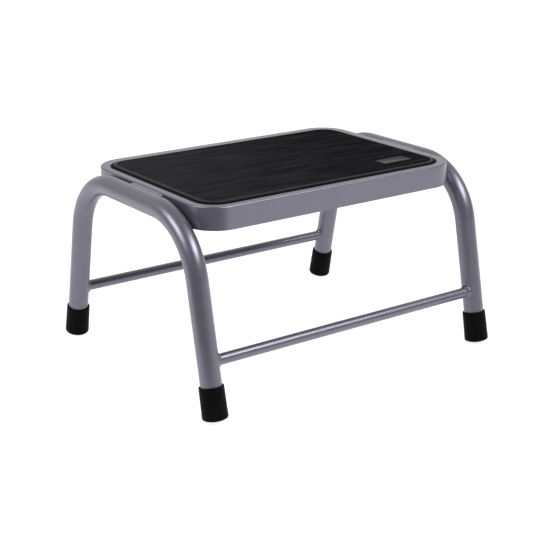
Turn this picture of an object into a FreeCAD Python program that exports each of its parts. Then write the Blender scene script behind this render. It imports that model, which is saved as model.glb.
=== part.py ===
"""Single-step platform stool: two bent tube end frames, two stretchers, a pressed steel platform
with a ribbed rubber mat, and four rubber feet.

Millimetres. +Z is up, X runs along the platform, -Y is the front. The origin is on the floor under
the middle of the stool.
"""

import FreeCAD
import Part
import math
import os

Vector = FreeCAD.Vector

# End frames: one bent steel tube at each end of the platform.
TUBE_OD = 26.0
TUBE_WALL = 1.5
WELD_GAP = 0.3  # fit-up gap between a platform end and the tube beside it
CROWN_Z = 229.9  # centreline height of the straight run on top
CROWN_HALF = 55.8  # half the length of that straight run
BEND_R = 85.0  # bend radius at the centreline
LEG_SPLAY = 11.7  # degrees each leg leans out, front or back
TUBE_END_Z = 8.4  # height at which the cut end of a leg stops, on the leg's axis

# Stretchers: one thin tube low down at the front, one at the back.
STRETCHER_OD = 13.6
STRETCHER_WALL = 1.2
STRETCHER_Z = 68.9
STRETCHER_WELD_LEG = 2.6  # how far each weld bead spreads along the stretcher
STRETCHER_WELD_TOE = 0.15  # thickness of a bead at its thin end
STRETCHER_WELD_ROOT = 6.5  # where a bead's cone starts, inside the leg
NOTCH_TOP_Z = 120.0  # height up to which a leg shapes the stretchers and their welds

# Platform: a shallow pressed pan, open underneath.
PLATFORM_LENGTH = 390.8
PLATFORM_DEPTH = 274.6
PLATFORM_TOP = 242.4
SKIRT_HEIGHT = 28.6
SHEET = 1.5
CORNER_R = 40.0
TOP_EDGE_R = 1.9

# Underside stiffeners: folded channels across the pan, spot welded to it.
CHANNEL_X = 78.0
CHANNEL_WIDTH = 40.0
CHANNEL_HEIGHT = 18.0
CHANNEL_FLANGE = 12.0
CHANNEL_SHEET = 1.2
CHANNEL_END_GAP = 1.0
SPOT_R = 3.0
SPOT_HEIGHT = 0.5
SPOT_COUNT = 4  # along each flange
SPOT_END_MARGIN = 20.0

# Welds that fill the grooves above and below each line where the platform's end meets a tube.
CROWN_WELD_LENGTH = 69.0
CROWN_WELD_MIDDLE_Y = -11.5  # the welds sit a little nearer the front
CROWN_WELD_ROOT = 2.0  # height from the tube's middle to the narrow side of a weld
CROWN_WELD_FACE = 11.2  # height from the tube's middle to the wide side of a weld

# Rubber mat with a sloping border and fine ribs along X, stuck down a little off centre.
MAT_LENGTH = 367.0
MAT_DEPTH = 249.0
MAT_CENTRE_X = -2.5
MAT_CENTRE_Y = -3.2
MAT_CORNER_R = 30.0
MAT_HEIGHT = 2.4
MAT_SLOPE = 6.2
MAT_CREST = 2.2  # width of the level crest inside the slope
MAT_LIP = 0.4  # upright edge below the slope
MAT_BASE = 1.3
RIB_PITCH = 3.0
RIB_WIDTH = 1.9
RIB_HEIGHT = 0.8

# Blank name plate on a smooth pad in the mat, near the front right corner.
BADGE_X = 128.7  # from the mat's centre to the plate's
BADGE_Y = -83.6
BADGE_LENGTH = 44.0
BADGE_DEPTH = 19.0
BADGE_CORNER_R = 1.5
BADGE_HEIGHT = 0.4
BADGE_PAD_MARGIN = 1.5

# Rubber feet pushed on to the leg ends, each with a steel disc under the tube.
FOOT_LENGTH = 42.4
FOOT_TOP_R = 15.0
FOOT_BOTTOM_R = 15.6
FOOT_TOP_ROUND = 1.0
FOOT_BOTTOM_ROUND = 3.0
FOOT_SOLE_R = 34.0  # radius of the domed sole
FOOT_BASE_Z = 0.4  # height of the middle of the sole: nearer the stool's middle it is worn flat at 0
DISC_R = 12.5
DISC_HEIGHT = 1.6

LEVEL_TOLERANCE = 1e-4  # how level an edge must be to count as one of a height

TUBE_R = TUBE_OD / 2.0
STRETCHER_R = STRETCHER_OD / 2.0
SPLAY = math.radians(LEG_SPLAY)
BEND_CENTRE_Z = CROWN_Z - BEND_R
BEND_END_Y = CROWN_HALF + BEND_R * math.cos(SPLAY)
BEND_END_Z = BEND_CENTRE_Z + BEND_R * math.sin(SPLAY)
SKIRT_BOTTOM = PLATFORM_TOP - SKIRT_HEIGHT
UNDER_TOP = PLATFORM_TOP - SHEET
PLATFORM_HALF = PLATFORM_LENGTH / 2.0
FRAME_X = PLATFORM_HALF + WELD_GAP + TUBE_R  # middle plane of each end frame
MAT_CENTRE = Vector(MAT_CENTRE_X, MAT_CENTRE_Y, 0)
MAT_FRINGE = MAT_SLOPE + MAT_CREST
MAT_TOP = PLATFORM_TOP + MAT_HEIGHT
RIB_CREST = PLATFORM_TOP + MAT_BASE + RIB_HEIGHT
SIDES = {"left": -1, "right": 1}
ENDS = {"front": -1, "rear": 1}


def leg_y(height):
    """Distance of a leg's axis from the middle plane at that height."""
    return BEND_END_Y + (BEND_END_Z - height) * math.tan(SPLAY)


def leg_point(side, end, height):
    return Vector(side * FRAME_X, end * leg_y(height), height)


def leg_direction(end):
    """Unit vector down a leg."""
    return Vector(0, end * math.sin(SPLAY), -math.cos(SPLAY))


def rounded_outline(length, depth, height, radius):
    """A level rectangle with rounded corners, centred on the Z axis."""
    sides = []
    corners = []
    half_x = length / 2.0
    half_y = depth / 2.0
    mid = radius * (1.0 - math.sqrt(0.5))
    for turn, (reach, across) in enumerate([(half_x, half_y), (half_y, half_x)] * 2):
        spin = FreeCAD.Rotation(Vector(0, 0, 1), 90.0 * turn)

        def at(x, y, spin=spin):
            return spin.multVec(Vector(x, y, 0)) + Vector(0, 0, height)

        start = at(reach, across - radius)
        stop = at(reach - radius, across)
        sides.append(Part.makeLine(at(reach, radius - across), start))
        corners.append(Part.Arc(start, at(reach - mid, across - mid), stop).toShape())
    edges = [edge for pair in zip(sides, corners) for edge in pair]
    return Part.Wire(edges)


def rounded_plate(length, depth, bottom, top, radius):
    """A flat plate with rounded corners, centred on the Z axis."""
    outline = rounded_outline(length, depth, bottom, radius)
    return Part.Face(outline).extrude(Vector(0, 0, top - bottom))


def edges_at(shape, height):
    """Edges of a shape that lie wholly at one height."""
    found = []
    for edge in shape.Edges:
        box = edge.BoundBox
        if abs(box.ZMin - height) < LEVEL_TOLERANCE and abs(box.ZMax - height) < LEVEL_TOLERANCE:
            found.append(edge)
    return found


def frame_path(side):
    """Centreline of one end frame: foot, leg, bend, top run, bend, leg, foot."""
    x = side * FRAME_X

    def at(y, z):
        return Vector(x, y, z)

    half_turn = (math.pi / 2.0 + SPLAY) / 2.0
    mid_y = CROWN_HALF + BEND_R * math.cos(half_turn)
    mid_z = BEND_CENTRE_Z + BEND_R * math.sin(half_turn)
    foot_y = leg_y(TUBE_END_Z)
    pieces = [
        Part.LineSegment(at(-foot_y, TUBE_END_Z), at(-BEND_END_Y, BEND_END_Z)),
        Part.Arc(at(-BEND_END_Y, BEND_END_Z), at(-mid_y, mid_z), at(-CROWN_HALF, CROWN_Z)),
        Part.LineSegment(at(-CROWN_HALF, CROWN_Z), at(CROWN_HALF, CROWN_Z)),
        Part.Arc(at(CROWN_HALF, CROWN_Z), at(mid_y, mid_z), at(BEND_END_Y, BEND_END_Z)),
        Part.LineSegment(at(BEND_END_Y, BEND_END_Z), at(foot_y, TUBE_END_Z)),
    ]
    return Part.Wire([piece.toShape() for piece in pieces])


def swept_rod(side, radius):
    """A solid rod of that radius along one end frame's centreline."""
    path = frame_path(side)
    start = leg_point(side, -1, TUBE_END_Z)
    ring = Part.Wire(Part.makeCircle(radius, start, leg_direction(-1) * -1.0))
    return Part.Solid(path.makePipeShell([ring], True, False))


def leg_frame(side):
    return swept_rod(side, TUBE_R).cut(swept_rod(side, TUBE_R - TUBE_WALL))


def leg_rod(side, end):
    """The straight lower part of a leg as a solid rod, to shape what meets it."""
    bottom = leg_point(side, end, TUBE_END_Z)
    reach = (NOTCH_TOP_Z - TUBE_END_Z) / math.cos(SPLAY)
    return Part.makeCylinder(TUBE_R, reach, bottom, leg_direction(end) * -1.0)


def stretcher(end):
    """A thin tube whose ends are notched to sit against the legs."""
    start = leg_point(-1, end, STRETCHER_Z)
    span = 2.0 * FRAME_X
    along = Vector(1, 0, 0)
    outer = Part.makeCylinder(STRETCHER_R, span, start, along)
    inner = Part.makeCylinder(STRETCHER_R - STRETCHER_WALL, span, start, along)
    tube = outer.cut(inner)
    for side in SIDES.values():
        tube = tube.cut(leg_rod(side, end))
    return tube


def stretcher_weld(side, end):
    """A fillet bead round the joint between a stretcher and a leg."""
    centre = leg_point(side, end, STRETCHER_Z)
    inward = Vector(-side, 0, 0)
    root = STRETCHER_WELD_ROOT
    tip = TUBE_R + STRETCHER_WELD_LEG
    base_r = STRETCHER_R + STRETCHER_WELD_LEG
    tip_r = STRETCHER_R + STRETCHER_WELD_TOE
    bead = Part.makeCone(base_r, tip_r, tip - root, centre + inward * root, inward)
    bead = bead.cut(Part.makeCylinder(STRETCHER_R, 2.0 * tip, centre, inward))
    return bead.cut(leg_rod(side, end))


def platform_pan():
    """Pressed steel pan: flat top, rounded edge and a plain skirt, open below."""
    outer = rounded_plate(PLATFORM_LENGTH, PLATFORM_DEPTH, SKIRT_BOTTOM, PLATFORM_TOP, CORNER_R)
    outer = outer.makeFillet(TOP_EDGE_R, edges_at(outer, PLATFORM_TOP))
    inner = rounded_plate(
        PLATFORM_LENGTH - 2.0 * SHEET,
        PLATFORM_DEPTH - 2.0 * SHEET,
        SKIRT_BOTTOM,
        UNDER_TOP,
        CORNER_R - SHEET,
    )
    inner = inner.makeFillet(TOP_EDGE_R - SHEET, edges_at(inner, UNDER_TOP))
    return outer.cut(inner)


def channel_outline():
    """Hat section of a stiffener, as half widths from its middle and depths below the pan."""
    web = CHANNEL_WIDTH / 2.0
    flange = web + CHANNEL_FLANGE
    sheet = CHANNEL_SHEET
    deep = CHANNEL_HEIGHT
    right = [(web - sheet, 0.0), (flange, 0.0), (flange, sheet), (web, sheet), (web, deep)]
    left = [(-across, below) for across, below in reversed(right)]
    inside = [(sheet - web, deep - sheet), (web - sheet, deep - sheet)]
    return right + left + inside


def stiffener(side):
    """A folded hat channel across the underside of the pan, from front skirt to rear skirt."""
    reach = PLATFORM_DEPTH / 2.0 - SHEET - TOP_EDGE_R - CHANNEL_END_GAP
    points = []
    for across, below in channel_outline():
        points.append(Vector(side * CHANNEL_X + across, -reach, UNDER_TOP - below))
    points.append(points[0])
    section = Part.Face(Part.makePolygon(points))
    return section.extrude(Vector(0, 2.0 * reach, 0))


def stiffener_spots(side):
    """Spot weld nuggets along both flanges of a stiffener."""
    reach = PLATFORM_DEPTH / 2.0 - SPOT_END_MARGIN
    step = 2.0 * reach / (SPOT_COUNT - 1)
    spots = []
    for flange in (-1, 1):
        x = side * CHANNEL_X + flange * (CHANNEL_WIDTH + CHANNEL_FLANGE) / 2.0
        for index in range(SPOT_COUNT):
            at = Vector(x, -reach + index * step, UNDER_TOP - CHANNEL_SHEET)
            spots.append(Part.makeCylinder(SPOT_R, SPOT_HEIGHT, at, Vector(0, 0, -1)))
    return Part.makeCompound(spots)


def crown_weld(side, way):
    """Weld in the groove above (way 1) or below (way -1) the line where the skirt meets the tube."""
    low_z = min(CROWN_Z + way * CROWN_WELD_ROOT, CROWN_Z + way * CROWN_WELD_FACE)
    low_x = min(side * PLATFORM_HALF, side * FRAME_X)
    corner = Vector(low_x, CROWN_WELD_MIDDLE_Y - CROWN_WELD_LENGTH / 2.0, low_z)
    height = CROWN_WELD_FACE - CROWN_WELD_ROOT
    groove = Part.makeBox(FRAME_X - PLATFORM_HALF, CROWN_WELD_LENGTH, height, corner)
    start = Vector(side * FRAME_X, -CROWN_WELD_LENGTH, CROWN_Z)
    tube = Part.makeCylinder(TUBE_R, 2.0 * CROWN_WELD_LENGTH, start, Vector(0, 1, 0))
    return groove.cut(tube)


def rib_field():
    """All the ribs as one comb-shaped bar along X."""
    field_depth = MAT_DEPTH - 2.0 * MAT_FRINGE
    half_count = int((field_depth / 2.0 - RIB_WIDTH / 2.0) / RIB_PITCH)
    crest = MAT_BASE + RIB_HEIGHT
    outline = [(-field_depth / 2.0, 0.0), (-field_depth / 2.0, MAT_BASE)]
    for index in range(-half_count, half_count + 1):
        middle = index * RIB_PITCH
        start = middle - RIB_WIDTH / 2.0
        stop = middle + RIB_WIDTH / 2.0
        outline += [(start, MAT_BASE), (start, crest), (stop, crest), (stop, MAT_BASE)]
    outline += [(field_depth / 2.0, MAT_BASE), (field_depth / 2.0, 0.0)]
    length = MAT_LENGTH - 2.0 * MAT_FRINGE
    points = [Vector(-length / 2.0, y, PLATFORM_TOP + z) for y, z in outline]
    points.append(points[0])
    return Part.Face(Part.makePolygon(points)).extrude(Vector(length, 0, 0))


def badge_plate(margin, bottom, top, radius):
    """A flat rounded plate at the badge's place in the mat, grown by a margin."""
    plate = rounded_plate(
        BADGE_LENGTH + 2.0 * margin, BADGE_DEPTH + 2.0 * margin, bottom, top, radius
    )
    plate.translate(Vector(BADGE_X, BADGE_Y, 0))
    return plate


def rubber_mat():
    """Mat with a border that slopes up to a crest, round a field of fine ribs."""
    levels = [
        (0.0, PLATFORM_TOP),
        (0.0, PLATFORM_TOP + MAT_LIP),
        (MAT_SLOPE, MAT_TOP),
    ]
    outlines = []
    for inset, height in levels:
        length = MAT_LENGTH - 2.0 * inset
        depth = MAT_DEPTH - 2.0 * inset
        outlines.append(rounded_outline(length, depth, height, MAT_CORNER_R - inset))
    slab = Part.makeLoft(outlines, True, True)
    field = rounded_plate(
        MAT_LENGTH - 2.0 * MAT_FRINGE,
        MAT_DEPTH - 2.0 * MAT_FRINGE,
        PLATFORM_TOP,
        MAT_TOP,
        MAT_CORNER_R - MAT_FRINGE,
    )
    ribs = rib_field().common(field)
    pad = badge_plate(BADGE_PAD_MARGIN, PLATFORM_TOP, RIB_CREST, BADGE_CORNER_R)
    mat = slab.cut(field).fuse([ribs, pad]).removeSplitter()
    mat.translate(MAT_CENTRE)
    return mat


def mat_badge():
    badge = badge_plate(0.0, RIB_CREST, RIB_CREST + BADGE_HEIGHT, BADGE_CORNER_R)
    badge.translate(MAT_CENTRE)
    return badge


def foot_axis(side, end):
    """The middle of a foot's sole, on its axis, and the direction up the leg."""
    return leg_point(side, end, FOOT_BASE_Z), leg_direction(end) * -1.0


def foot_section(base, up):
    """Half section of a foot: domed sole, rounded shoulder, slightly conical side, rounded mouth."""
    shoulder_x = FOOT_BOTTOM_R - FOOT_BOTTOM_ROUND
    sole_reach = FOOT_SOLE_R - FOOT_BOTTOM_ROUND
    shoulder_z = FOOT_SOLE_R - math.sqrt(sole_reach**2 - shoulder_x**2)
    lean = math.asin(shoulder_x / sole_reach)
    mouth_x = FOOT_TOP_R - FOOT_TOP_ROUND
    mouth_z = FOOT_LENGTH - FOOT_TOP_ROUND

    def spot(across, along):
        return base + Vector(across, 0, 0) + up * along

    def on_arc(across, along, radius, angle):
        return spot(across + radius * math.sin(angle), along - radius * math.cos(angle))

    apex = on_arc(0, FOOT_SOLE_R, FOOT_SOLE_R, 0)
    sole_middle = on_arc(0, FOOT_SOLE_R, FOOT_SOLE_R, lean / 2.0)
    sole_end = on_arc(0, FOOT_SOLE_R, FOOT_SOLE_R, lean)
    shoulder_turn = (lean + math.pi / 2.0) / 2.0
    shoulder_middle = on_arc(shoulder_x, shoulder_z, FOOT_BOTTOM_ROUND, shoulder_turn)
    side_start = spot(FOOT_BOTTOM_R, shoulder_z)
    side_end = spot(FOOT_TOP_R, mouth_z)
    mouth_middle = on_arc(mouth_x, mouth_z, FOOT_TOP_ROUND, math.pi * 0.75)
    mouth_end = spot(mouth_x, FOOT_LENGTH)
    top_middle = spot(0, FOOT_LENGTH)
    edges = [
        Part.Arc(apex, sole_middle, sole_end).toShape(),
        Part.Arc(sole_end, shoulder_middle, side_start).toShape(),
        Part.LineSegment(side_start, side_end).toShape(),
        Part.Arc(side_end, mouth_middle, mouth_end).toShape(),
        Part.LineSegment(mouth_end, top_middle).toShape(),
        Part.LineSegment(top_middle, apex).toShape(),
    ]
    return Part.Face(Part.Wire(edges))


def foot(side, end):
    """Rubber ferrule with a domed sole, worn flat where it stands."""
    base, up = foot_axis(side, end)
    body = foot_section(base, up).revolve(base, up, 360.0)
    body = body.cut(Part.makeCylinder(TUBE_R, FOOT_LENGTH * 2.0, disc_base(side, end), up))
    corner = Vector(base.x - FOOT_LENGTH, base.y - FOOT_LENGTH, -FOOT_LENGTH)
    floor = Part.makeBox(2.0 * FOOT_LENGTH, 2.0 * FOOT_LENGTH, FOOT_LENGTH, corner)
    return body.cut(floor)


def disc_base(side, end):
    up = leg_direction(end) * -1.0
    return leg_point(side, end, TUBE_END_Z) - up * DISC_HEIGHT


def foot_disc(side, end):
    """Steel disc at the bottom of a foot, under the end of the tube."""
    return Part.makeCylinder(DISC_R, DISC_HEIGHT, disc_base(side, end), leg_direction(end) * -1.0)


def build():
    """Every node's name and shape."""
    nodes = {"platform_pan": platform_pan(), "rubber_mat": rubber_mat(), "mat_badge": mat_badge()}
    for end_name, end in ENDS.items():
        nodes[end_name + "_stretcher"] = stretcher(end)
    for side_name, side in SIDES.items():
        nodes[side_name + "_leg_frame"] = leg_frame(side)
        nodes[side_name + "_upper_weld"] = crown_weld(side, 1)
        nodes[side_name + "_lower_weld"] = crown_weld(side, -1)
        nodes[side_name + "_stiffener"] = stiffener(side)
        nodes[side_name + "_stiffener_spots"] = stiffener_spots(side)
        for end_name, end in ENDS.items():
            place = end_name + "_" + side_name
            nodes[place + "_foot"] = foot(side, end)
            nodes[place + "_foot_disc"] = foot_disc(side, end)
            nodes[place + "_stretcher_weld"] = stretcher_weld(side, end)
    return nodes


def report(name, shape):
    box = shape.optimalBoundingBox()
    low = "%.2f %.2f %.2f" % (box.XMin, box.YMin, box.ZMin)
    high = "%.2f %.2f %.2f" % (box.XMax, box.YMax, box.ZMax)
    print(name, len(shape.Solids), shape.isValid(), round(shape.Volume, 1), low, high)


os.makedirs("parts", exist_ok=True)
for node_name, node_shape in build().items():
    report(node_name, node_shape)
    node_shape.exportStep("parts/" + node_name + ".step")
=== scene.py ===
"""The looks of a single-step platform stool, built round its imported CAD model.

Metres. +Z is up, X runs along the platform, -Y is the front.
"""

import math

import bmesh
import bpy
from mathutils import Matrix, Vector, noise


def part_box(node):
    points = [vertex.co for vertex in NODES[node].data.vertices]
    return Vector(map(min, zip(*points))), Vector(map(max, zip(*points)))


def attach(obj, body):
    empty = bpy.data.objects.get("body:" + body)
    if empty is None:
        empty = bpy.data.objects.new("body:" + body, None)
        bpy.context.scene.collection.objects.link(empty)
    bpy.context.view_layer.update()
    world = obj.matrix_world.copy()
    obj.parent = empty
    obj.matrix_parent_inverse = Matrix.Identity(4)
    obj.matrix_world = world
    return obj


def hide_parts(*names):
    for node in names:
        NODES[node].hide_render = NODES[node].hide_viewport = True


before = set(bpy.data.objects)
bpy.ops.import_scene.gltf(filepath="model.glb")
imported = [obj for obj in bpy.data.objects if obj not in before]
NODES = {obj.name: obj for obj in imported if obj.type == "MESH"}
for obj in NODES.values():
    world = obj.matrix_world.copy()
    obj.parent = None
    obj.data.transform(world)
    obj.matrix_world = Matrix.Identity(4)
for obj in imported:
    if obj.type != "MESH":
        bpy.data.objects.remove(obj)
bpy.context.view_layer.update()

MM = 0.001

# Words that the pieces' names are made of, by direction along X, Y and Z
SIDES = {-1: "left", 1: "right"}
ENDS = {-1: "front", 1: "rear"}
WAYS = {-1: "lower", 1: "upper"}

# Camera
AZIMUTH = -35.837  # degrees
ELEVATION = 19.07
LENS = 82.0  # mm
SENSOR = 36.0  # mm
AIM = Vector((-21.73, -30.44, 101.4)) * MM
DISTANCE = 1626.5 * MM

# Steel
TUBE_R = 13.0 * MM
STRETCHER_R = 6.8 * MM
SPLAY = math.radians(11.7)  # how far each leg leans out, front or back
PAN_EDGE_R = 1.9 * MM  # round of the pan's top edge

# Weld bead round each stretcher's end
BEAD_SIZE = 2.8 * MM  # how far it spreads along the stretcher and the leg
BEAD_UNEVENNESS = 0.12  # share by which that size varies
BEAD_LUMPINESS = 1.7
BEAD_BULGE = 0.22 * MM
BEAD_RIPPLES = 24  # in one turn
BEAD_RIPPLE_HEIGHT = 0.35  # share of the bulge
BEAD_RIPPLE_LAG = 1.6  # radians by which a ripple's middle trails its ends
BEAD_STEPS = 168
BEAD_ACROSS_STEPS = 7

# Long welds in the grooves between the platform's ends and the tubes
GROOVE_WELD_CROWN = 0.40 * MM  # how far the weld swells out of the groove
GROOVE_WELD_RIPPLE = 2.6 * MM  # length of one ripple
GROOVE_WELD_RIPPLE_HEIGHT = 0.06 * MM
GROOVE_WELD_RIPPLE_LAG = 1.8
GROOVE_WELD_DRIFT = 0.25 * MM  # how far the weld's level wanders along its length
GROOVE_WELD_END = 5.0 * MM  # length of the rounding at each end
GROOVE_WELD_END_DROP = 1.4 * MM
GROOVE_WELD_ROOT = 2.5 * MM  # depth of the weld in the groove
GROOVE_WELD_STEPS = 200
GROOVE_WELD_ACROSS_STEPS = 8

# Mat, from its lower outer edge inwards
MAT_CORNER_R = 30.0 * MM
MAT_LIP = 0.4 * MM
MAT_SLOPE = 6.2 * MM
MAT_HIGHLIGHT_FROM = 0.74  # share of the slope in darker rubber as painted shade; above it the crest's lighter rubber is a painted highlight
MAT_CREST = 2.2 * MM
MAT_CREST_RISE = 0.3 * MM  # how far the rounded crest swells above its own edges
MAT_BASE = 1.3 * MM
RIB_PITCH = 3.0 * MM
RIB_WIDTH = 1.9 * MM
RIB_HEIGHT = 0.8 * MM
RIB_TAPER = 1.4 * MM  # length over which a rib comes down at each end
RIB_GAP = 0.35 * MM  # between a rib's end and the border
BADGE_CORNER_R = 1.5 * MM
BADGE_PAD_MARGIN = 1.5 * MM
FIELD, SLOPE, CREST = 0, 1, 2  # the mat's materials, in the order of its slots

# Feet
FOOT_LENGTH = 42.4 * MM
FOOT_TOP_R = 15.0 * MM
FOOT_BOTTOM_R = 15.6 * MM
FOOT_ROUND = 3.0 * MM  # between the side and the sole
FOOT_RIM_ROUND = 0.8 * MM  # of the mouth
FOOT_SOLE_R = 34.0 * MM  # radius of the domed sole
FOOT_BASE_Z = 0.4 * MM  # height of the middle of the sole
FOOT_BORE_FLOOR = 11.0 * MM  # how far up the foot its bore starts
FOOT_DIMPLE_R = 2.6 * MM  # in the middle of the sole
FOOT_GROOVES = (5.6, 8.8)  # mm, radii of the rings sunk into the sole
FOOT_GROOVE_DEPTH = 0.8 * MM
FOOT_STEPS = 72

# Colours: the darkest and the lightest part of each surface
PAINT = ((0.140, 0.133, 0.172), (0.170, 0.161, 0.208))
FIELD_RUBBER = ((0.0028, 0.0026, 0.0036), (0.0200, 0.0192, 0.0238))
# darker rubber on the lower slope of the border, painted shade
SLOPE_SHADE_RUBBER = ((0.0022, 0.0021, 0.0024), (0.0038, 0.0037, 0.0041))
# lighter rubber on the crest and the top of the slope, a painted highlight
CREST_HIGHLIGHT_RUBBER = ((0.0105, 0.0100, 0.0116), (0.0155, 0.0148, 0.0168))
FOOT_RUBBER = ((0.0016, 0.0016, 0.0016), (0.0030, 0.0030, 0.0031))
BADGE_PLASTIC = ((0.020, 0.019, 0.021), (0.027, 0.0255, 0.028))
ZINC = ((0.50, 0.51, 0.53), (0.62, 0.62, 0.62))
NOISE_LOW = 0.3  # noise mostly falls between these two
NOISE_HIGH = 0.7

# Painted sheen on the mat, which lightens it towards its rear left corner
SHEEN_DIRECTION = (-1.0, 0.5, 0.0)
SHEEN_FROM = -0.10  # how far in that direction the painted sheen starts
SHEEN_UP_TO = 0.18
SHEEN_MOST = 0.5
SCUFF_SHEEN_RAMP = (0.45, 1.05)  # scuffs and painted sheen together, where the rubber is plainest and where it is lightest

# Surroundings
FLOOR_SIZE = 60
FLOOR_Z = -0.2 * MM
FLOOR_GLOW = 0.9
BACKDROP_R = 28.0
BACKDROP_GLOW = 1.1
SKY_BRIGHT_SIDE = (0.45, 0.85, 0.1)
SKY_DIM_FROM = -0.3  # how far round towards the bright side the sky starts to brighten
SKY_BRIGHT_FROM = 0.9
SKY_DIM = 0.22
SKY_BRIGHT = 0.85
FLAG_AZIMUTH = -50.0  # degrees
FLAG_DISTANCE = 0.55
FLAG_WIDTH = 0.9
FLAG_HEIGHT = 0.45
FLAG_GLOW = 0.25
LIGHT_DISTANCE = 2.2
LIGHT_AIM = Vector((0, 0, 0.15))
# Angles in degrees, sizes in metres, power in watts
LEFT_LIGHT = {"azimuth": -95, "elevation": 38.5, "width": 1.3, "height": 0.8, "power": 27}
RIGHT_LIGHT = {"azimuth": 26, "elevation": 45.5, "width": 1.5, "height": 0.8, "power": 38}


# ---------------------------------------------------------------- meshes

def new_piece(name, mesh, material, slot, *nodes):
    """Adds a finished mesh as a piece of the stool that stands for CAD nodes."""
    piece = bpy.data.objects.new(name, mesh)
    bpy.context.scene.collection.objects.link(piece)
    mesh.materials.append(material)
    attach(piece, "root")
    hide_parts(*nodes)


def finish_mesh(name, bm, sharp_angle):
    """Turns a bmesh into a mesh with smooth faces and sharp creases."""
    bmesh.ops.recalc_face_normals(bm, faces=bm.faces)
    for face in bm.faces:
        face.smooth = True
    limit = math.radians(sharp_angle)
    for edge in bm.edges:
        if len(edge.link_faces) == 2 and edge.calc_face_angle() > limit:
            edge.smooth = False
    mesh = bpy.data.meshes.new(name)
    bm.to_mesh(mesh)
    bm.free()
    return mesh


def bridge(bm, low, high):
    """Quads between two closed rings of the same number of points."""
    count = len(low)
    band = []
    for index in range(count):
        after = (index + 1) % count
        band.append(bm.faces.new((low[index], low[after], high[after], high[index])))
    return band


def loft(bm, rings, around=False):
    """Skins a row of rings and returns its bands; the row's ends are capped, or joined to each other."""
    made = [[bm.verts.new(point) for point in ring] for ring in rings]
    bands = [bridge(bm, low, high) for low, high in zip(made, made[1:])]
    if around:
        bands.append(bridge(bm, made[-1], made[0]))
    else:
        bm.faces.new(made[0])
        bm.faces.new(made[-1])
    return bands


def rounded_ring(centre, half_x, half_y, radius, height, steps=12):
    """Points of a level rectangle with rounded corners, the same number for any size."""
    points = []
    for turn in range(4):
        spin = Matrix.Rotation(turn * math.pi / 2, 3, "Z")
        reach, across = (half_x, half_y) if turn % 2 == 0 else (half_y, half_x)
        corner_centre = Vector((reach - radius, across - radius, 0))
        for step in range(steps + 1):
            angle = step / steps * math.pi / 2
            corner = corner_centre + Vector((math.cos(angle), math.sin(angle), 0)) * radius
            points.append(spin @ corner + Vector((centre.x, centre.y, height)))
    return points


def arc_profile(centre, radius, start, stop, steps):
    """Points (across, up) along an arc, angles in degrees."""
    points = []
    for step in range(steps + 1):
        angle = math.radians(start + (stop - start) * step / steps)
        points.append((centre[0] + radius * math.cos(angle), centre[1] + radius * math.sin(angle)))
    return points


# ---------------------------------------------------------------- mat

def mat_profile(height):
    """The border's section as (inset, height above the pan), from underneath to the middle."""
    half = MAT_CREST / 2
    swell_r = (half**2 + MAT_CREST_RISE**2) / (2 * MAT_CREST_RISE)
    swell = math.degrees(math.asin(half / swell_r))
    points = [(0.3 * MM, 0.0), (0.0, 0.08 * MM), (0.0, MAT_LIP - 0.1 * MM), (0.08 * MM, MAT_LIP)]
    edge_height = height - MAT_CREST_RISE
    # the crest's lighter rubber, a painted highlight, starts this far up the slope
    highlight_from = MAT_LIP + MAT_HIGHLIGHT_FROM * (edge_height - MAT_LIP)
    points.append((MAT_SLOPE * MAT_HIGHLIGHT_FROM, highlight_from))
    points += arc_profile((MAT_SLOPE + half, height - swell_r), swell_r, 90 + swell, 90 - swell, 8)
    points += [(MAT_SLOPE + MAT_CREST + 0.06 * MM, MAT_BASE + 0.12 * MM)]
    points += [(MAT_SLOPE + MAT_CREST + 0.18 * MM, MAT_BASE)]
    return points


def mat_surface(inset):
    """Which of the mat's materials covers the band that ends at an inset."""
    # the slope takes the painted-shade rubber, the crest the painted-highlight rubber
    if inset < MAT_SLOPE * 0.99:
        return SLOPE
    if inset < MAT_SLOPE + MAT_CREST * 0.9:
        return CREST
    return FIELD


def mat_slab(bm, centre, half_x, half_y, bottom, height):
    """The mat without its ribs: the border, and the flat field inside it."""
    profile = mat_profile(height)
    rings = []
    for inset, lift in profile:
        corner_r = MAT_CORNER_R - inset
        rings.append(rounded_ring(centre, half_x - inset, half_y - inset, corner_r, bottom + lift))
    bands = loft(bm, rings)
    for band, (inset, _) in zip(bands, profile[1:]):
        for face in band:
            face.material_index = mat_surface(inset)


def rib(bm, centre, reach, base):
    """One rib with a rounded top and tapering ends."""
    section = [(-0.5, -0.25), (-0.47, 0.45), (-0.38, 0.82), (-0.2, 1.0)]
    section += [(-x, z) for x, z in reversed(section)]
    rows = [(-reach, 0.05), (-reach + RIB_TAPER * 0.4, 0.75), (-reach + RIB_TAPER, 1.0)]
    rows += [(-x, lift) for x, lift in reversed(rows)]
    rings = []
    for x, lift in rows:
        ring = []
        for across, up in section:
            z = base + RIB_HEIGHT * (up * lift if up > 0 else up)
            ring.append((centre.x + x, centre.y + across * RIB_WIDTH, z))
        rings.append(ring)
    loft(bm, rings)


def mat_ribs(bm, centre, half_x, half_y, base):
    """Ribs along X, which fill the field up to its round corners."""
    fringe = MAT_SLOPE + MAT_CREST
    inner_r = MAT_CORNER_R - fringe
    inner_x = half_x - fringe
    inner_y = half_y - fringe
    half_count = int((inner_y - RIB_WIDTH / 2) / RIB_PITCH)
    for index in range(-half_count, half_count + 1):
        y = index * RIB_PITCH
        outer_edge = abs(y) + RIB_WIDTH / 2
        into_corner = max(0.0, outer_edge - (inner_y - inner_r))
        reach = inner_x - inner_r + math.sqrt(max(0.0, inner_r**2 - into_corner**2)) - RIB_GAP
        rib(bm, centre + Vector((0, y, 0)), reach, base)


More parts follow.
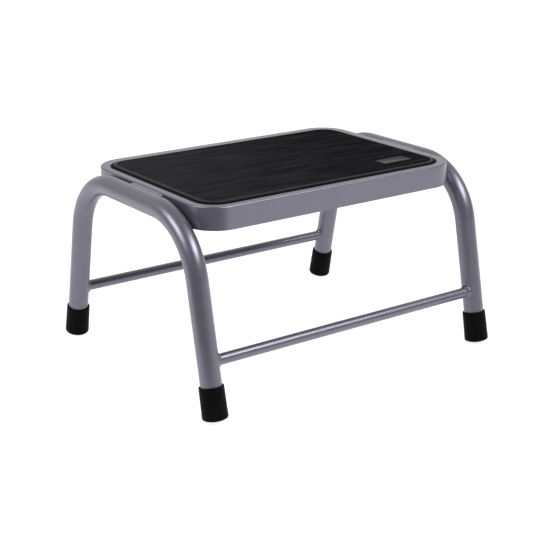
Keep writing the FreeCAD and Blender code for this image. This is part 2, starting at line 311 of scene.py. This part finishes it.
def badge_pad(bm, base):
    """Smooth pad in the ribs, under the badge."""
    badge_low, badge_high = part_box("mat_badge")
    low = badge_low - Vector((BADGE_PAD_MARGIN, BADGE_PAD_MARGIN, 0))
    high = badge_high + Vector((BADGE_PAD_MARGIN, BADGE_PAD_MARGIN, 0))
    centre = (low + high) / 2
    half_x = (high.x - low.x) / 2
    half_y = (high.y - low.y) / 2
    top = badge_low.z
    profile = [(0, base - 0.2 * MM), (0, top - 0.2 * MM), (0.06 * MM, top - 0.06 * MM), (0.2 * MM, top)]
    rings = []
    for inset, z in profile:
        rings.append(rounded_ring(centre, half_x - inset, half_y - inset, BADGE_CORNER_R - inset, z, 6))
    loft(bm, rings)


def rubber_mat(field_material, slope_shade_material, crest_highlight_material):
    """Rubber mat: a border that slopes up to a crest, round a field of fine ribs; the slope's rubber is
    darkened as painted shade and the crest's lightened as a painted highlight.
    """
    low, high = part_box("rubber_mat")
    centre = Vector(((low.x + high.x) / 2, (low.y + high.y) / 2, 0))
    half_x = (high.x - low.x) / 2
    half_y = (high.y - low.y) / 2
    base = low.z + MAT_BASE
    bm = bmesh.new()
    mat_slab(bm, centre, half_x, half_y, low.z, high.z - low.z)
    mat_ribs(bm, centre, half_x, half_y, base)
    badge_pad(bm, base)
    mesh = finish_mesh("ribbed_mat", bm, 50)
    new_piece("ribbed_mat", mesh, field_material, "mat_rubber", "rubber_mat")
    mesh.materials.append(slope_shade_material)
    mesh.materials.append(crest_highlight_material)


def badge(material):
    """Blank name plate with rounded edges and a shallow sunk face."""
    low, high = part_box("mat_badge")
    centre = (low + high) / 2
    half_x = (high.x - low.x) / 2
    half_y = (high.y - low.y) / 2
    profile = [(0, low.z), (0, high.z - 0.15 * MM), (0.05 * MM, high.z - 0.05 * MM)]
    profile += [(0.15 * MM, high.z), (0.9 * MM, high.z), (1.1 * MM, high.z - 0.15 * MM)]
    rings = []
    for inset, z in profile:
        rings.append(rounded_ring(centre, half_x - inset, half_y - inset, BADGE_CORNER_R - inset, z, 6))
    bm = bmesh.new()
    loft(bm, rings)
    mesh = finish_mesh("blank_badge", bm, 40)
    new_piece("blank_badge", mesh, material, "badge_plastic", "mat_badge")


# ---------------------------------------------------------------- feet

def leg_up(end):
    """Unit vector up a leg."""
    return Vector((0, -end * math.sin(SPLAY), math.cos(SPLAY)))


def sole_middle(side, end):
    """The middle of a foot's sole, on the leg's axis."""
    low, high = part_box(f"{ENDS[end]}_{SIDES[side]}_foot_disc")
    middle = (low + high) / 2
    up = leg_up(end)
    return middle + up * ((FOOT_BASE_Z - middle.z) / up.z)


def sole_height(radius):
    """Height of the domed sole above its middle, at a distance from the axis."""
    return FOOT_SOLE_R - math.sqrt(FOOT_SOLE_R**2 - radius**2)


def foot_profile():
    """Half section of a foot as (radius, height along its axis), from the sole up to the mouth."""
    depth = FOOT_GROOVE_DEPTH
    dimple_edge = FOOT_DIMPLE_R + 0.4 * MM
    points = [(0.0, depth), (FOOT_DIMPLE_R, depth), (dimple_edge, sole_height(dimple_edge))]
    for groove in FOOT_GROOVES:
        for offset, sunk in ((-0.5, 0.0), (-0.35, depth), (0.35, depth), (0.5, 0.0)):
            radius = (groove + offset) * MM
            points.append((radius, sole_height(radius) + sunk))
    shoulder_x = FOOT_BOTTOM_R - FOOT_ROUND
    sole_reach = FOOT_SOLE_R - FOOT_ROUND
    shoulder_z = FOOT_SOLE_R - math.sqrt(sole_reach**2 - shoulder_x**2)
    lean = math.degrees(math.asin(shoulder_x / sole_reach))
    for radius in (11.0 * MM, 12.5 * MM):
        points.append((radius, sole_height(radius)))
    points += arc_profile((shoulder_x, shoulder_z), FOOT_ROUND, lean - 90, 0, 8)
    for share in (0.4, 0.6, 0.8):
        radius = FOOT_BOTTOM_R + (FOOT_TOP_R - FOOT_BOTTOM_R) * share
        points.append((radius, FOOT_LENGTH * share))
    rim = FOOT_RIM_ROUND
    points += arc_profile((FOOT_TOP_R - rim, FOOT_LENGTH - rim), rim, 0, 130, 7)
    bore_r = TUBE_R - 0.05 * MM
    points += [(bore_r, FOOT_LENGTH - 1.5 * MM), (bore_r, FOOT_BORE_FLOOR)]
    return points


def wear_flat(bm):
    """Cuts off what is below the floor and closes the cut, as a sole wears."""
    geometry = bm.verts[:] + bm.edges[:] + bm.faces[:]
    cut = bmesh.ops.bisect_plane(
        bm, geom=geometry, plane_co=(0, 0, 0), plane_no=(0, 0, -1), clear_outer=True
    )
    edges = [item for item in cut["geom_cut"] if isinstance(item, bmesh.types.BMEdge)]
    bmesh.ops.triangle_fill(bm, edges=edges, use_beauty=True)


def foot(side, end, material):
    """Rubber ferrule with a rolled mouth, a slight flare and grooves in its domed sole."""
    name = f"{ENDS[end]}_{SIDES[side]}"
    base = sole_middle(side, end)
    turn = Vector((0, 0, 1)).rotation_difference(leg_up(end)).to_matrix()
    profile = foot_profile()
    bm = bmesh.new()
    centre = bm.verts.new(base + turn @ Vector((0, 0, profile[0][1])))
    rings = []
    for radius, height in profile[1:]:
        ring = []
        for step in range(FOOT_STEPS):
            angle = 2 * math.pi * step / FOOT_STEPS
            spot = Vector((radius * math.cos(angle), radius * math.sin(angle), height))
            ring.append(bm.verts.new(base + turn @ spot))
        rings.append(ring)
    for index in range(FOOT_STEPS):
        bm.faces.new((centre, rings[0][index], rings[0][(index + 1) % FOOT_STEPS]))
    for low, high in zip(rings, rings[1:]):
        bridge(bm, low, high)
    bm.faces.new(rings[-1])
    wear_flat(bm)
    mesh = finish_mesh(name + "_ferrule", bm, 50)
    new_piece(name + "_ferrule", mesh, material, "foot_rubber", name + "_foot")


# ---------------------------------------------------------------- welds

def bead_section(turn, size):
    """Section of a bead as (distance from the stretcher's axis, distance out of the leg)."""
    points = []
    for index in range(BEAD_ACROSS_STEPS + 1):
        share = index / BEAD_ACROSS_STEPS
        wave = math.sin(BEAD_RIPPLES * turn - BEAD_RIPPLE_LAG * math.sin(math.pi * share))
        bulge = math.sin(math.pi * share) * BEAD_BULGE * (1 + BEAD_RIPPLE_HEIGHT * wave)
        points.append((STRETCHER_R + size * (1 - share) + bulge, size * share + bulge))
    points += [(STRETCHER_R - 0.3 * MM, size * 0.9), (STRETCHER_R - 0.3 * MM, -0.5 * MM)]
    points += [(STRETCHER_R + size * 0.9, -0.5 * MM)]
    return points


def stretcher_bead(side, end, material):
    """Rippled fillet weld round the joint of a stretcher and a leg."""
    name = f"{ENDS[end]}_{SIDES[side]}"
    frame_low, frame_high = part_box(SIDES[side] + "_leg_frame")
    rod_low, rod_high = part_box(ENDS[end] + "_stretcher")
    centre = (rod_low + rod_high) / 2
    centre.x = (frame_low.x + frame_high.x) / 2
    up = leg_up(end)
    across = Vector((0, math.cos(SPLAY), end * math.sin(SPLAY)))
    rings = []
    for step in range(BEAD_STEPS):
        turn = 2 * math.pi * step / BEAD_STEPS
        spread = Vector((math.cos(turn), math.sin(turn), 2.0 * side + end)) * BEAD_LUMPINESS
        size = BEAD_SIZE * (1 + BEAD_UNEVENNESS * noise.noise(spread))
        ring = []
        for radius, out in bead_section(turn, size):
            surface = math.sqrt(TUBE_R**2 - (radius * math.cos(turn)) ** 2)
            spot = centre + (across * math.cos(turn) + up * math.sin(turn)) * radius
            spot.x -= side * (surface + out)
            ring.append(spot)
        rings.append(ring)
    bm = bmesh.new()
    loft(bm, rings, around=True)
    mesh = finish_mesh(name + "_bead", bm, 75)
    new_piece(name + "_bead", mesh, material, "grey_paint", name + "_stretcher_weld")


def groove_weld(side, way, material):
    """Long weld that fills the groove above (way 1) or below (way -1) the skirt and tube's meeting line."""
    name = f"{SIDES[side]}_{WAYS[way]}"
    low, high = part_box(name + "_weld")
    frame_low, frame_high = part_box(SIDES[side] + "_leg_frame")
    tube_x = (frame_low.x + frame_high.x) / 2
    tube_z = frame_high.z - TUBE_R
    pan_low, pan_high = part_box("platform_pan")
    skirt_x = (pan_low if side < 0 else pan_high).x
    face = (high.z if way > 0 else low.z) - tube_z
    length = high.y - low.y
    rings = []
    for step in range(GROOVE_WELD_STEPS + 1):
        along = length * (1 - math.cos(math.pi * step / GROOVE_WELD_STEPS)) / 2
        y = low.y + along
        to_end = min(along, length - along)
        lift = math.sqrt(max(0.0, 1 - max(0.0, 1 - to_end / GROOVE_WELD_END) ** 2))
        drift = noise.noise(Vector((along * 60, side * 3.0, way * 5.0)))
        wander = noise.noise(Vector((along * 160, side * 7.0, way * 2.0)))
        level = way * (abs(face) - (1 - lift) * GROOVE_WELD_END_DROP + GROOVE_WELD_DRIFT * drift)
        touch = tube_x - side * math.sqrt(TUBE_R**2 - level**2)
        above_round = max(0.0, tube_z + level - (pan_high.z - PAN_EDGE_R))
        pan_x = skirt_x - side * (PAN_EDGE_R - math.sqrt(PAN_EDGE_R**2 - above_round**2))
        phase = 2 * math.pi * along / GROOVE_WELD_RIPPLE + 1.5 * wander
        ring = []
        for index in range(GROOVE_WELD_ACROSS_STEPS + 1):
            share = index / GROOVE_WELD_ACROSS_STEPS
            crown = math.sin(math.pi * share)
            wave = math.sin(phase - GROOVE_WELD_RIPPLE_LAG * crown)
            swell = GROOVE_WELD_CROWN + GROOVE_WELD_RIPPLE_HEIGHT * wave
            x = pan_x + (touch - pan_x) * share
            ring.append(Vector((x, y, tube_z + level + way * crown * swell * lift)))
        root = tube_z + level - way * GROOVE_WELD_ROOT
        ring.append(Vector((touch + side * 0.4 * MM, y, root)))
        ring.append(Vector((skirt_x - side * 0.2 * MM, y, root)))
        rings.append(ring)
    bm = bmesh.new()
    loft(bm, rings)
    mesh = finish_mesh(name + "_groove_weld", bm, 75)
    new_piece(name + "_groove_weld", mesh, material, "grey_paint", name + "_weld")


# ---------------------------------------------------------------- materials

def shader(name):
    """A new material, with its node tree and its shader node."""
    material = bpy.data.materials.new(name)
    material.use_nodes = True
    return material, material.node_tree, material.node_tree.nodes["Principled BSDF"]


def noise_node(tree, scale, detail=3.0, stretch=None):
    """Noise in the object's own coordinates, with its size given as waves per metre."""
    place = tree.nodes.new("ShaderNodeTexCoord")
    texture = tree.nodes.new("ShaderNodeTexNoise")
    texture.inputs["Scale"].default_value = scale
    texture.inputs["Detail"].default_value = detail
    vector = place.outputs["Object"]
    if stretch:
        mapping = tree.nodes.new("ShaderNodeMapping")
        mapping.inputs["Scale"].default_value = stretch
        tree.links.new(vector, mapping.inputs["Vector"])
        vector = mapping.outputs["Vector"]
    tree.links.new(vector, texture.inputs["Vector"])
    return texture.outputs["Fac"]


def map_range(tree, value, start, stop, low, high):
    """Stretches a value that runs from start to stop so that it runs from low to high."""
    spread = tree.nodes.new("ShaderNodeMapRange")
    spread.inputs["From Min"].default_value = start
    spread.inputs["From Max"].default_value = stop
    spread.inputs["To Min"].default_value = low
    spread.inputs["To Max"].default_value = high
    tree.links.new(value, spread.inputs["Value"])
    return spread.outputs["Result"]


def along_direction(tree, place, direction):
    """How far a place lies in a direction."""
    toward = tree.nodes.new("ShaderNodeVectorMath")
    toward.operation = "DOT_PRODUCT"
    toward.inputs[1].default_value = direction
    tree.links.new(place, toward.inputs[0])
    return toward.outputs["Value"]


def between(tree, factor, low, high, socket):
    """Feeds a socket with a value that runs from low to high as the noise does."""
    tree.links.new(map_range(tree, factor, NOISE_LOW, NOISE_HIGH, low, high), socket)


def colour_between(tree, factor, colours, socket, start=NOISE_LOW, stop=NOISE_HIGH):
    """Feeds a colour socket with a blend from the dark to the light colour as the factor runs."""
    dark, light = colours
    ramp = tree.nodes.new("ShaderNodeValToRGB")
    ramp.color_ramp.elements[0].position = start
    ramp.color_ramp.elements[1].position = stop
    ramp.color_ramp.elements[0].color = (*dark, 1)
    ramp.color_ramp.elements[1].color = (*light, 1)
    tree.links.new(factor, ramp.inputs["Fac"])
    tree.links.new(ramp.outputs["Color"], socket)


def bump(tree, surface, heights):
    """Chains bumps on a shader; each is (factor, distance in metres, strength)."""
    normal = None
    for factor, distance, strength in heights:
        node = tree.nodes.new("ShaderNodeBump")
        node.inputs["Distance"].default_value = distance
        node.inputs["Strength"].default_value = strength
        tree.links.new(factor, node.inputs["Height"])
        if normal:
            tree.links.new(normal, node.inputs["Normal"])
        normal = node.outputs["Normal"]
    tree.links.new(normal, surface.inputs["Normal"])


def grey_paint():
    """Semi-gloss metallic powder coat, with fine orange peel and flake."""
    material, tree, surface = shader("grey_metallic_paint")
    flake = noise_node(tree, 2600, 2)
    colour_between(tree, flake, PAINT, surface.inputs["Base Color"])
    surface.inputs["Metallic"].default_value = 0.75
    patches = noise_node(tree, 45, 4)
    between(tree, patches, 0.34, 0.40, surface.inputs["Roughness"])
    surface.inputs["Coat Weight"].default_value = 0.4
    surface.inputs["Coat Roughness"].default_value = 0.25
    peel = noise_node(tree, 700, 3)
    bump(tree, surface, [(peel, 0.00003, 0.4), (flake, 0.00001, 0.3)])
    return material


def mat_rubber():
    """Black rubber with a fine grain and lengthwise scuffs, and a painted sheen that lightens it towards
    its rear left corner.
    """
    material, tree, surface = shader("mat_black_rubber")
    scuff = noise_node(tree, 14, 6, (1.0, 9.0, 9.0))
    place = tree.nodes.new("ShaderNodeTexCoord")
    # painted sheen: the field's colour is lightened towards its rear left corner
    toward_sheen = along_direction(tree, place.outputs["Object"], SHEEN_DIRECTION)
    sheen_lift = map_range(tree, toward_sheen, SHEEN_FROM, SHEEN_UP_TO, 0.0, SHEEN_MOST)
    scuff_and_sheen = tree.nodes.new("ShaderNodeMath")
    scuff_and_sheen.operation = "ADD"
    tree.links.new(scuff, scuff_and_sheen.inputs[0])
    tree.links.new(sheen_lift, scuff_and_sheen.inputs[1])
    colour = surface.inputs["Base Color"]
    colour_between(tree, scuff_and_sheen.outputs["Value"], FIELD_RUBBER, colour, *SCUFF_SHEEN_RAMP)
    between(tree, scuff, 0.72, 0.6, surface.inputs["Roughness"])
    surface.inputs["Specular IOR Level"].default_value = 0.03
    grain = noise_node(tree, 3000, 3)
    wear = noise_node(tree, 220, 3)
    bump(tree, surface, [(grain, 0.00005, 0.5), (wear, 0.00005, 0.3)])
    return material


def mat_border(name, colours, rough, gloss):
    """Smooth rubber of the mat's border: a darker copy as painted shade on the slope, a lighter copy as a
    painted highlight on the crest.
    """
    material, tree, surface = shader(name)
    scuff = noise_node(tree, 90, 4)
    colour_between(tree, scuff, colours, surface.inputs["Base Color"])
    between(tree, scuff, rough, rough + 0.12, surface.inputs["Roughness"])
    surface.inputs["Specular IOR Level"].default_value = gloss
    grain = noise_node(tree, 1500, 3)
    bump(tree, surface, [(grain, 0.00003, 0.5)])
    return material


def foot_rubber():
    """Moulded black rubber: even, faintly blotchy, soft sheen."""
    material, tree, surface = shader("foot_black_rubber")
    blotch = noise_node(tree, 120, 4)
    colour_between(tree, blotch, FOOT_RUBBER, surface.inputs["Base Color"])
    between(tree, blotch, 0.5, 0.62, surface.inputs["Roughness"])
    surface.inputs["Specular IOR Level"].default_value = 0.05
    grain = noise_node(tree, 1800, 3)
    bump(tree, surface, [(grain, 0.00005, 0.5), (blotch, 0.00008, 0.3)])
    return material


def badge_plastic():
    """Grey moulded plastic with a spark-eroded texture."""
    material, tree, surface = shader("badge_grey_plastic")
    grain = noise_node(tree, 2200, 3)
    colour_between(tree, grain, BADGE_PLASTIC, surface.inputs["Base Color"])
    between(tree, grain, 0.45, 0.6, surface.inputs["Roughness"])
    surface.inputs["Specular IOR Level"].default_value = 0.3
    bump(tree, surface, [(grain, 0.00004, 0.6)])
    return material


def zinc_steel():
    """Zinc plated sheet steel with a faint spangle."""
    material, tree, surface = shader("zinc_plated_steel")
    spangle = noise_node(tree, 400, 2)
    colour_between(tree, spangle, ZINC, surface.inputs["Base Color"])
    surface.inputs["Metallic"].default_value = 1.0
    between(tree, spangle, 0.3, 0.42, surface.inputs["Roughness"])
    bump(tree, surface, [(spangle, 0.00002, 0.3)])
    return material


def repaint(made):
    """Gives every CAD node the finished material of its slot."""
    for node in NODES.values():
        for place in node.material_slots:
            place.material = made[place.material.name.split(".")[0]]


# ---------------------------------------------------------------- studio

def outward(azimuth, elevation):
    """Unit vector away from the stool, from angles in degrees; azimuth 0 is straight in front."""
    turn = math.radians(azimuth)
    rise = math.radians(elevation)
    return Vector((math.sin(turn) * math.cos(rise), -math.cos(turn) * math.cos(rise), math.sin(rise)))


def glowing(name, grey, specular, glow):
    """A plain grey material that also gives off white light, with its shader node."""
    material, _, surface = shader(name)
    surface.inputs["Base Color"].default_value = (grey, grey, grey, 1)
    surface.inputs["Specular IOR Level"].default_value = specular
    surface.inputs["Emission Color"].default_value = (1, 1, 1, 1)
    surface.inputs["Emission Strength"].default_value = glow
    return material, surface


def floor():
    """Pale floor a hair under the stool."""
    material, surface = glowing("white_floor", 0.3, 0.1, FLOOR_GLOW)
    surface.inputs["Roughness"].default_value = 0.9
    bpy.ops.mesh.primitive_plane_add(size=FLOOR_SIZE, location=(0, 0, FLOOR_Z))
    plane = bpy.context.object
    plane.name = "floor"
    plane.data.materials.append(material)


def backdrop():
    """White surroundings above the floor's far edge, which only the camera sees."""
    material, surface = glowing("white_backdrop", 0, 0.0, BACKDROP_GLOW)
    bpy.ops.mesh.primitive_uv_sphere_add(radius=BACKDROP_R, location=(0, 0, 0))
    dome = bpy.context.object
    dome.name = "backdrop"
    dome.data.materials.append(material)
    dome.visible_diffuse = False
    dome.visible_glossy = False
    dome.visible_shadow = False


def softbox(name, azimuth, elevation, width, height, power):
    """A rectangular area light aimed at the stool."""
    lamp = bpy.data.lights.new(name, "AREA")
    lamp.shape = "RECTANGLE"
    lamp.size = width
    lamp.size_y = height
    lamp.energy = power
    holder = bpy.data.objects.new(name, lamp)
    bpy.context.scene.collection.objects.link(holder)
    away = outward(azimuth, elevation)
    holder.location = LIGHT_AIM + away * LIGHT_DISTANCE
    holder.rotation_mode = "QUATERNION"
    holder.rotation_quaternion = (-away).to_track_quat("-Z", "Y")


def dark_flag():
    """Dark grey card off the stool's front left corner, there only for its reflection in the paint."""
    material, surface = glowing("dark_card", 0.01, 0.0, FLAG_GLOW)
    bpy.ops.mesh.primitive_plane_add(size=1)
    card = bpy.context.object
    card.name = "dark_flag"
    card.data.materials.append(material)
    card.scale = (FLAG_WIDTH, FLAG_HEIGHT, 1)
    card.rotation_euler = (math.pi / 2, 0, math.radians(FLAG_AZIMUTH))
    card.location = outward(FLAG_AZIMUTH, 0) * FLAG_DISTANCE + Vector((0, 0, FLAG_HEIGHT / 2))
    card.visible_camera = False
    card.visible_diffuse = False
    card.visible_shadow = False


def sky():
    """Soft surroundings, light behind the stool and dim in front of it."""
    world = bpy.data.worlds.new("studio")
    world.use_nodes = True
    tree = world.node_tree
    place = tree.nodes.new("ShaderNodeTexCoord")
    toward_light = along_direction(tree, place.outputs["Generated"], SKY_BRIGHT_SIDE)
    strength = map_range(tree, toward_light, SKY_DIM_FROM, SKY_BRIGHT_FROM, SKY_DIM, SKY_BRIGHT)
    background = tree.nodes["Background"]
    background.inputs["Color"].default_value = (1, 1, 1, 1)
    tree.links.new(strength, background.inputs["Strength"])
    bpy.context.scene.world = world


def camera():
    """The camera, off the stool's front left corner and a little above it."""
    lens = bpy.data.cameras.new("camera")
    lens.lens = LENS
    lens.sensor_width = SENSOR
    lens.clip_start = 0.05
    lens.clip_end = 200
    eye = bpy.data.objects.new("camera", lens)
    bpy.context.scene.collection.objects.link(eye)
    back = outward(AZIMUTH, ELEVATION)
    eye.location = AIM + back * DISTANCE
    eye.rotation_mode = "QUATERNION"
    eye.rotation_quaternion = (-back).to_track_quat("-Z", "Y")
    bpy.context.scene.camera = eye


camera()
floor()
backdrop()
sky()
dark_flag()
softbox("left_light", **LEFT_LIGHT)
softbox("right_light", **RIGHT_LIGHT)
bpy.context.scene.view_settings.view_transform = "Standard"

materials = {
    "grey_paint": grey_paint(),
    "mat_rubber": mat_rubber(),
    # the slope's rubber is painted darker as shade
    "mat_slope": mat_border("mat_slope_painted_shade", SLOPE_SHADE_RUBBER, rough=0.6, gloss=0.05),
    # the crest's rubber is painted lighter as a highlight
    "mat_crest": mat_border("mat_crest_painted_highlight", CREST_HIGHLIGHT_RUBBER, rough=0.45, gloss=0.2),
    "foot_rubber": foot_rubber(),
    "badge_plastic": badge_plastic(),
    "zinc_steel": zinc_steel(),
}
repaint(materials)
rubber_mat(materials["mat_rubber"], materials["mat_slope"], materials["mat_crest"])
badge(materials["badge_plastic"])
for side in SIDES:
    for way in WAYS:
        groove_weld(side, way, materials["grey_paint"])
    for end in ENDS:
        foot(side, end, materials["foot_rubber"])
        stretcher_bead(side, end, materials["grey_paint"])
